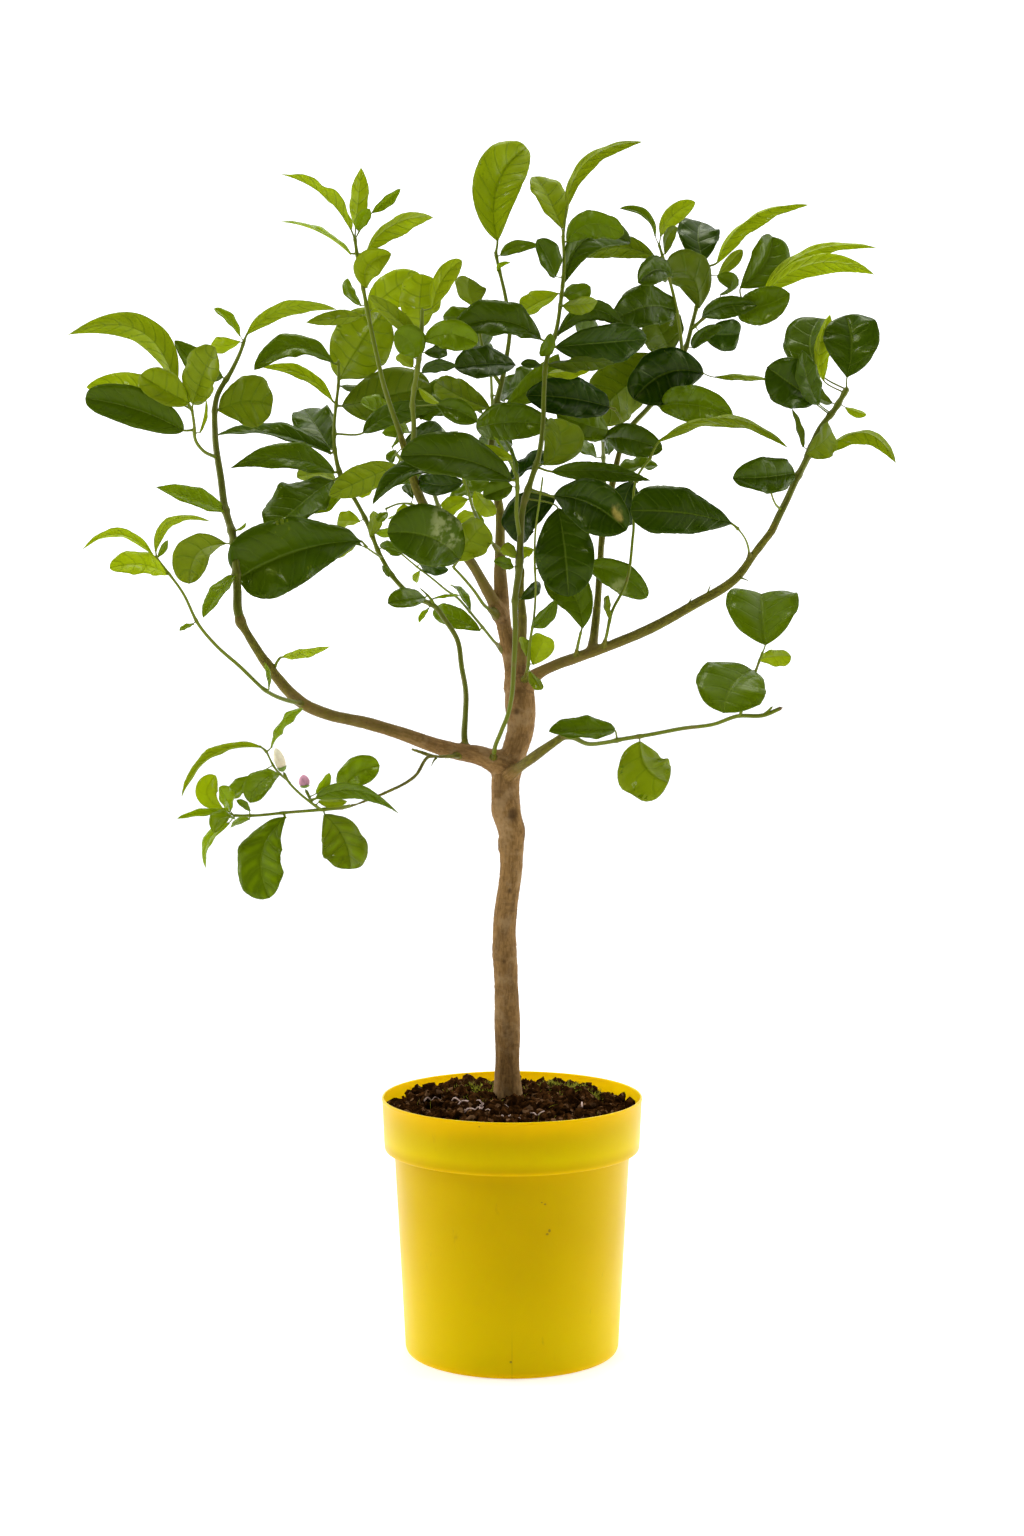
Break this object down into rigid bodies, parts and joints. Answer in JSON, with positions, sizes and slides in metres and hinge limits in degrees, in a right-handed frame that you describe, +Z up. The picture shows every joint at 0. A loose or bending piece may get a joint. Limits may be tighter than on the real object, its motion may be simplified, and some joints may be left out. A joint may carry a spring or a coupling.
{
  "type": "potted citrus tree",
  "caption": "Young citron tree with a bare trunk, spreading limbs and broad glossy leaves, standing in a round tapered plastic pot of soil.",
  "frame": {"origin": "centre of the pot's flat underside, on the floor", "axes": "+Z up along the trunk, +X to the right and +Y away from the viewer in the front view"},
  "size_m": [0.7384, 0.4562, 1.1047],
  "materials": {
    "pot": "satin",
    "soil": "matte",
    "wood": "matte",
    "back_left": "satin",
    "back_middle": "satin",
    "back_right": "satin",
    "crown_left": "satin",
    "front": "satin",
    "inner_left": "satin",
    "leader_top": "satin",
    "left_middle": "satin",
    "left_spray": "satin",
    "left_tall": "satin",
    "limb_left_a": "satin",
    "limb_left_b": "satin",
    "limb_sprig": "satin",
    "low_crown": "satin",
    "low_left": "satin",
    "mid_crown": "satin",
    "right_back": "satin",
    "right_inner": "satin",
    "right_leaf": "satin",
    "right_low": "satin",
    "right_single": "satin",
    "right_tall": "satin",
    "right_upper": "satin",
    "slender": "satin",
    "upper_left": "satin",
    "bud_cream": "satin",
    "bud_pink": "satin"
  },
  "bodies": {
    "root": {"pot": "pot", "soil": "soil", "wood": "wood", "back_left": "back_left", "back_middle": "back_middle", "back_right": "back_right", "crown_left": "crown_left", "front": "front", "inner_left": "inner_left", "leader_top": "leader_top", "left_middle": "left_middle", "left_spray": "left_spray", "left_tall": "left_tall", "limb_left_a": "limb_left_a", "limb_left_b": "limb_left_b", "limb_sprig": "limb_sprig", "low_crown": "low_crown", "low_left": "low_left", "mid_crown": "mid_crown", "right_back": "right_back", "right_inner": "right_inner", "right_leaf": "right_leaf", "right_low": "right_low", "right_single": "right_single", "right_tall": "right_tall", "right_upper": "right_upper", "slender": "slender", "upper_left": "upper_left", "bud_cream": "bud_cream", "bud_pink": "bud_pink"}
  },
  "joints": []
}
